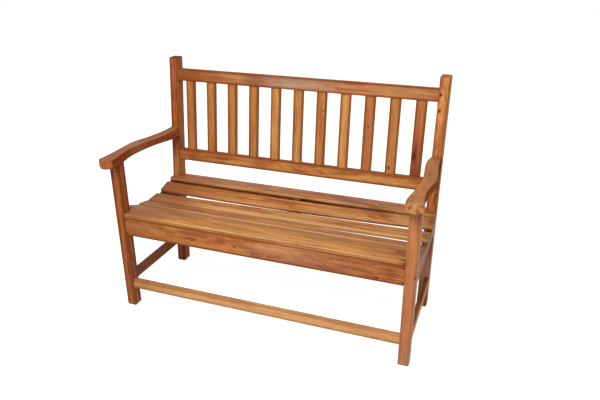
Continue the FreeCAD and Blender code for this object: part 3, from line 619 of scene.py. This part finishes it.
class BENCH_OT_seat_frame(bpy.types.Operator):
    """Gives the apron, rails and centre support their wood"""
    bl_idname = "bench.seat_frame"
    bl_label = "Seat Frame"

    def execute(self, context):
        dress_boards({
            # The broad pale mark in the apron's middle is painted sheen; its darker left end is painted
            # shade
            "front_apron": {
                "plank": "rust", "shade": 1.06, "grain": "x", "lean": ON_EDGE, "pith": (-10, -45),
                "slope": 2.4, "bands": 0.6, "curl": 0.7, "slant": 35.0, "mottle": 0.35, "cloud": 0.7,
                "ends": (0.5, 0.0), "knots": ((-5, -78, 4), (-26, 454, 4), (-24, -8, 3)),
                "marks": (("sapwood_and_highlight", 4, -460, 34, 130, 0.45), ("sapwood_and_highlight", 8, 60, 16, 120, 0.3),
                          ("stain_and_shade", -22, 270, 7, 110, 0.7), ("stain_and_shade", -10, 370, 6, 90, 0.55),
                          ("red_cloud", 4, 400, 60, 160, 0.3), ("rubbed_and_highlight", 6, 160, 60, 260, 0.18),
                          ("stain_and_shade", 2, 500, 20, 40, 0.5), ("sapwood_and_highlight", -37, 400, 5, 150, 0.6))},
            "rear_seat_rail": {"plank": "russet", "grain": "x", "lean": ON_EDGE, "pith": (0, -70)},
            # The rails' tops, and the left rail's inner face, seen through the seat gaps, get painted shade
            "side_seat_rail_left": {
                "plank": "russet", "grain": "y", "pith": (60, 10),
                "faces": (("heartwood_and_shade", 1, 0, 0.85), ("heartwood_and_shade", 0, 1, 0.85))},
            "side_seat_rail_right": {
                "plank": "russet", "grain": "y", "pith": (-60, 20), "faces": (("heartwood_and_shade", 1, 0, 0.8),)},
            "centre_seat_support": {"plank": "umber", "grain": "y", "pith": (60, -30)},
        })
        return {"FINISHED"}


class BENCH_OT_stretchers(bpy.types.Operator):
    """Gives the stretchers near the floor their wood"""
    bl_idname = "bench.stretchers"
    bl_label = "Stretchers"

    def execute(self, context):
        dress_boards({
            "front_stretcher": {
                "plank": "sand", "shade": 1.1, "grain": "x", "lean": ON_EDGE, "pith": (50, 30),
                "bands": 0.3, "curl": 0.2, "lines": 0.3, "cloud": 0.2, "rim": 0.45, "ends": (0.4, 0.0)},
            "side_stretcher_left": {"plank": "russet", "grain": "y", "pith": (40, 30)},
            "side_stretcher_right": {
                "plank": "amber", "shade": 1.2, "grain": "y", "pith": (-40, 30), "rim": 0.5,
                "knots": ((4, 60, 5),)},
        })
        return {"FINISHED"}


class BENCH_OT_backrest(bpy.types.Operator):
    """Gives the backrest's rails and slats their wood"""
    bl_idname = "bench.backrest"
    bl_label = "Backrest"

    def execute(self, context):
        boards = {
            "back_lower_rail": {
                "plank": "amber", "grain": "x", "lean": ON_EDGE + BACK_LEAN, "pith": (20, 50),
                "slope": 2.0, "bands": 0.5, "curl": 1.2, "mottle": 0.25, "ends": (0.3, 0.0),
                # Painted shade on the top face, between the back slats
                "faces": (("heartwood_and_shade", 1, 0, 0.55),),
                "marks": (("stain_and_shade", -10, -480, 6, 60, 0.5), ("stain_and_shade", -2, -330, 6, 50, 0.5),
                          ("sapwood_and_highlight", -12, -280, 8, 120, 0.4), ("sapwood_and_highlight", -6, 330, 14, 160, 0.5),
                          ("stain_and_shade", 0, -160, 30, 60, 0.25))},
            # The grey mark in the middle of the top rail is painted sheen, and its ends get painted shade
            "back_top_rail": {
                "plank": "copper", "shade": 0.84, "grain": "x", "lean": ON_EDGE + BACK_LEAN,
                "pith": (-30, 50), "bands": 0.5, "curl": 0.6, "slant": 14.0, "mottle": 0.3, "cloud": 0.8,
                "ends": (0.8, 0.0),
                "marks": (("sapwood_and_highlight", 8, -300, 9, 160, 0.5), ("sapwood_and_highlight", -10, -60, 10, 90, 0.3),
                          ("sapwood_and_highlight", 4, 210, 8, 110, 0.35), ("dust_and_sheen", 0, -10, 60, 190, 0.5),
                          ("stain_and_shade", 0, -190, 45, 75, 0.5), ("sapwood_and_highlight", 0, 390, 50, 150, 0.3))},
        }
        planks = ("rust", "amber", "amber", "amber", "honey", "honey", "amber", "honey", "rust", "amber",
                  "rust")
        shades = (1.0, 0.95, 0.9, 0.97, 1.08, 1.01, 0.99, 1.08, 0.96, 0.92, 1.02)
        knots = {7: (8, 75, 3), 9: (0, 29, 3), 10: (-5, -124, 5), 11: (-12, -65, 9)}
        for index, (plank, shade) in enumerate(zip(planks, shades)):
            # Pith 15 to 42 mm off, now to one side and now to the other
            side = 1 if index % 2 else -1
            boards[f"back_slat_{index + 1:02d}"] = {
                "plank": plank, "shade": shade, "grain": "z", "lean": BACK_LEAN,
                "pith": (side * (15 + 9 * (index % 4)), 60),
                "bands": 0.35, "curl": 0.3, "mottle": 0.15, "lines": 0.3, "cloud": 0.4,
                "knots": (knots[index + 1],) if index + 1 in knots else ()}
        boards["back_slat_05"].update(slant=40.0, curl=0.9)
        boards["back_slat_11"]["marks"] = (
            ("red_cloud", 0, -80, 60, 160, 0.75), ("stain_and_shade", -10, -60, 12, 60, 0.9),
            ("stain_and_shade", 0, -150, 30, 60, 0.6))
        dress_boards(boards)
        return {"FINISHED"}


class BENCH_OT_fasteners(bpy.types.Operator):
    """Gives the nails their steel and the dowels their beech"""
    bl_idname = "bench.fasteners"
    bl_label = "Nails and Dowels"

    def execute(self, context):
        look = context.scene.bench_nails
        dress("leg_nails", steel_material("bright nail steel", look.bright, 0.4, look.rust))
        tarnished = steel_material("tarnished nail steel", look.dark, 0.55)
        for name in ("apron_nails", "post_nails", "seat_nails"):
            dress(name, tarnished)
        beech = beech_material("beech dowel", look.dowel)
        for name in ("arm_upright_dowels", "arm_rear_dowels"):
            dress(name, beech)
        return {"FINISHED"}


def new_surface(name, points, faces):
    """Puts points and the faces between them into a new object in the scene."""
    mesh = bpy.data.meshes.new(name)
    mesh.from_pydata(points.tolist(), [], [face.tolist() for face in faces])
    thing = bpy.data.objects.new(name, mesh)
    bpy.context.scene.collection.objects.link(thing)
    return thing


def loop_faces(rings, steps):
    """Four-sided faces between closed rings of points that follow one another."""
    start = np.arange(rings - 1)[:, None] * steps + np.arange(steps)
    after = np.arange(rings - 1)[:, None] * steps + np.roll(np.arange(steps), -1)
    return np.stack([start, start + steps, after + steps, after], -1).reshape(-1, 4)


def skewed_slat(name, lean, left, right, bow, wider):
    """A seat slat that lies a little askew and is bowed in its own plane.

    Its section is a box with quarter-round corners. It is carried along the slat, and at
    u from -1 at the left end to 1 at the right end it lies back by
    left (1 - u) / 2 + right (1 + u) / 2 + bow (1 - u squared). It is wider than the other
    slats by the last length. At each end the slat is eased by a quarter round of radius r:
    at an angle p, the section is smaller by r (1 - cos p) and short of the end by
    r (1 - sin p).
    """
    slat = bpy.context.scene.bench_slats
    middle, axes, half = lie_of(name, "x", lean)
    stations = 59
    quarter = np.linspace(0.0, np.pi / 2, 5)
    corners = np.array([(1, 1), (-1, 1), (-1, -1), (1, -1)])
    around = (quarter + np.arange(4)[:, None] * np.pi / 2).ravel()
    sides = np.repeat(corners, len(quarter), 0)
    reach = half[2] - slat.end_round * (1 - np.sin(quarter))
    along = np.concatenate([-reach[::-1], np.linspace(-1, 1, stations + 2)[1:-1] * reach[0], reach])
    shrink = slat.end_round * (1 - np.cos(quarter))
    shrink = np.concatenate([shrink[::-1], np.zeros(stations), shrink])[:, None]
    u = along[:, None] / half[2]
    back = (left * (1 - u) / 2 + right * (1 + u) / 2 + bow * (1 - u * u)) * MM
    straight = np.array((half[0] + wider / 2 * MM, half[1])) - slat.edge_round
    across = sides[:, 0] * (straight[0] - shrink) + slat.edge_round * np.cos(around) + back
    through = sides[:, 1] * (straight[1] - shrink) + slat.edge_round * np.sin(around)
    local = np.stack(np.broadcast_arrays(across, through, along[:, None]), -1)
    points = (local @ axes + middle).reshape(-1, 3)
    rings, steps = local.shape[:2]
    faces = list(loop_faces(rings, steps)[:, ::-1])
    faces += [np.arange(steps), np.arange(steps)[::-1] + (rings - 1) * steps]
    piece = new_surface(f"skewed_{name}", points, faces)
    piece.data.materials.append(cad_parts[name].data.materials[0])
    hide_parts(name)
    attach(piece, "root")
    return middle, axes, half


def nail_heads(name, lie, spots):
    """Nail heads let into one slat, each a flat dome.

    At an angle p from the top to the bottom of a head, its radius is R times the 0.4th
    power of sin p, with sin p kept above 0.03, and its height is h cos p.
    """
    nails = bpy.context.scene.bench_nails
    middle, axes, half = lie
    tip = np.linspace(0.0, np.pi, 9)
    radius = nails.head_width / 2 * np.maximum(np.sin(tip), 0.03) ** 0.4
    height = nails.head_rise * np.cos(tip)
    turn = np.linspace(0.0, 2 * np.pi, 17)[:-1]
    ring = np.stack(np.broadcast_arrays(
        radius[:, None] * np.cos(turn), height[:, None], radius[:, None] * np.sin(turn)), -1)
    centres = np.array([(across * MM, half[1], along * MM) for across, along in spots])
    local = (ring + centres[:, None, None]).reshape(-1, 3)
    count = ring.shape[0] * ring.shape[1]
    one = list(loop_faces(len(tip), len(turn)))
    one += [np.arange(len(turn)), np.arange(len(turn))[::-1] + count - len(turn)]
    faces = [face + shift * count for shift in range(len(spots)) for face in one]
    piece = new_surface(name, local @ axes + middle, faces)
    piece.data.materials.append(bpy.data.materials["tarnished nail steel"])
    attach(piece, "root")


class BENCH_OT_skewed_slats(bpy.types.Operator):
    """Makes the two seat slats that were nailed down askew, with their nails"""
    bl_idname = "bench.skewed_slats"
    bl_label = "Skewed Seat Slats"

    def execute(self, context):
        rows = (15.0, -15.0)
        ends = (-574.0, 20.0, 574.0)
        for name, left, right, bow, wider in (
            ("seat_slat_3", -14.0, 8.0, 0.0, 5.0),
            ("seat_slat_4", -3.0, 10.0, -11.0, 0.0),
        ):
            lie = skewed_slat(name, SLAT_LEANS[name], left, right, bow, wider)
            nail_heads(f"nail_heads_{name}", lie, [(row, end) for row in rows for end in ends])
        return {"FINISHED"}


def shown_white(tree):
    """1 where the camera, a reflection or glass looks, and 0 for all other light."""
    rays = add(tree, "LightPath").outputs
    seen = add(tree, "Math", {0: rays["Is Camera Ray"], 1: rays["Is Glossy Ray"]},
               operation="MAXIMUM").outputs[0]
    return add(tree, "Math", {0: seen, 1: rays["Is Transmission Ray"]}, operation="MAXIMUM").outputs[0]


def paper_floor(colour):
    """Round floor of matt white paper, with faint blots 30 mm wide in its roughness.

    Its points lie in rings at radius r and angle t, and the smallest ring is filled in.
    Shadows come from its diffuse part, whiteness from a part that only the camera,
    reflections and glass see.
    """
    inner, outer = 0.7, 9.0
    whiteness = 0.86
    radii, turns = np.meshgrid(
        np.linspace(inner, outer, 13), np.linspace(0, 2 * np.pi, 65)[:-1], indexing="ij")
    points = np.stack([radii * np.cos(turns), radii * np.sin(turns), radii * 0], -1)
    rings, steps = radii.shape
    faces = list(loop_faces(rings, steps)) + [np.arange(steps)]
    floor = new_surface("studio_floor", points.reshape(-1, 3), faces)

    material = empty_material("white paper floor")
    tree = material.node_tree
    lift = add(tree, "Math", {0: shown_white(tree), 1: whiteness}, operation="MULTIPLY").outputs[0]
    place = add(tree, "TexCoord").outputs["Object"]
    grain = add(tree, "TexNoise", {"Vector": place, "Scale": 30.0}).outputs[0]
    rough = add(tree, "MapRange", {"Value": grain, 3: 0.75, 4: 0.95}).outputs[0]
    paper = add(tree, "BsdfDiffuse", {"Color": tuple(colour) + (1.0,), "Roughness": rough})
    glow = add(tree, "Emission", {"Strength": lift})
    both = add(tree, "AddShader", {0: paper.outputs[0], 1: glow.outputs[0]})
    add(tree, "OutputMaterial", {"Surface": both.outputs[0]})
    floor.data.materials.append(material)


def white_world(ambient):
    """Even light from all sides, seen as plain white."""
    world = bpy.data.worlds.new("white studio")
    world.use_nodes = True
    tree = world.node_tree
    tree.nodes.clear()
    strength = add(tree, "MapRange", {"Value": shown_white(tree), 3: ambient, 4: 1.0}).outputs[0]
    back = add(tree, "Background", {"Color": (1.0, 1.0, 1.0, 1.0), "Strength": strength})
    add(tree, "OutputWorld", {"Surface": back.outputs[0]})
    return world


def key_light(power):
    """The large soft light above and in front of the bench."""
    lamp = bpy.data.lights.new("key_light", "AREA")
    lamp.shape = "RECTANGLE"
    lamp.size, lamp.size_y = 1.3, 1.0
    lamp.energy = power
    key = bpy.data.objects.new("key_light", lamp)
    key.location = (0.15, -2.3, 2.75)
    tilt, turn = 46.0, 2.0
    key.rotation_euler = (math.radians(tilt), 0.0, math.radians(turn))
    bpy.context.scene.collection.objects.link(key)


def photo_camera(focal):
    """The camera, where it was fitted to the photograph."""
    lens = bpy.data.cameras.new("camera")
    lens.lens = focal
    lens.sensor_width = 36.0
    camera = bpy.data.objects.new("camera", lens)
    camera.location = (0.7948, -1.9290, 1.3817)
    down, turn = 23.673, 19.987
    camera.rotation_euler = (math.radians(90 - down), 0.0, math.radians(turn))
    bpy.context.scene.collection.objects.link(camera)
    return camera


class BENCH_OT_studio(bpy.types.Operator):
    """Makes the floor, the light and the camera"""
    bl_idname = "bench.studio"
    bl_label = "Studio"

    def execute(self, context):
        scene = context.scene
        look = scene.bench_studio
        paper_floor(look.floor)
        scene.world = white_world(look.ambient)
        key_light(look.key_power)
        scene.camera = photo_camera(look.lens)
        scene.view_settings.view_transform = "Standard"
        return {"FINISHED"}


STEPS = (BENCH_OT_uprights, BENCH_OT_arms, BENCH_OT_seat, BENCH_OT_seat_frame,
         BENCH_OT_stretchers, BENCH_OT_backrest, BENCH_OT_fasteners, BENCH_OT_skewed_slats,
         BENCH_OT_studio)


class BENCH_PT_panel(bpy.types.Panel):
    """Lists the sizes, the colours and the steps"""
    bl_idname = "BENCH_PT_panel"
    bl_label = "Garden Bench"
    bl_space_type = "VIEW_3D"
    bl_region_type = "UI"
    bl_category = "Bench"

    def draw(self, context):
        scene = context.scene
        for group in (scene.bench_wood, scene.bench_slats, scene.bench_nails, scene.bench_studio):
            box = self.layout.box()
            for name in group.bl_rna.properties.keys():
                if name not in ("rna_type", "name"):
                    box.prop(group, name)
        for step in STEPS:
            self.layout.operator(step.bl_idname)


CLASSES = (BenchWood, BenchSlats, BenchNails, BenchStudio) + STEPS + (BENCH_PT_panel,)


def register():
    """Registers the classes and ties the settings to the scene."""
    for one in CLASSES:
        bpy.utils.register_class(one)
    bpy.types.Scene.bench_wood = PointerProperty(type=BenchWood)
    bpy.types.Scene.bench_slats = PointerProperty(type=BenchSlats)
    bpy.types.Scene.bench_nails = PointerProperty(type=BenchNails)
    bpy.types.Scene.bench_studio = PointerProperty(type=BenchStudio)


def unregister():
    """Takes the settings and the classes away again."""
    del bpy.types.Scene.bench_wood
    del bpy.types.Scene.bench_slats
    del bpy.types.Scene.bench_nails
    del bpy.types.Scene.bench_studio
    for one in reversed(CLASSES):
        bpy.utils.unregister_class(one)


def main():
    register()
    bpy.ops.bench.uprights()
    bpy.ops.bench.arms()
    bpy.ops.bench.seat()
    bpy.ops.bench.seat_frame()
    bpy.ops.bench.stretchers()
    bpy.ops.bench.backrest()
    bpy.ops.bench.fasteners()
    bpy.ops.bench.skewed_slats()
    bpy.ops.bench.studio()


if __name__ == "__main__":
    main()
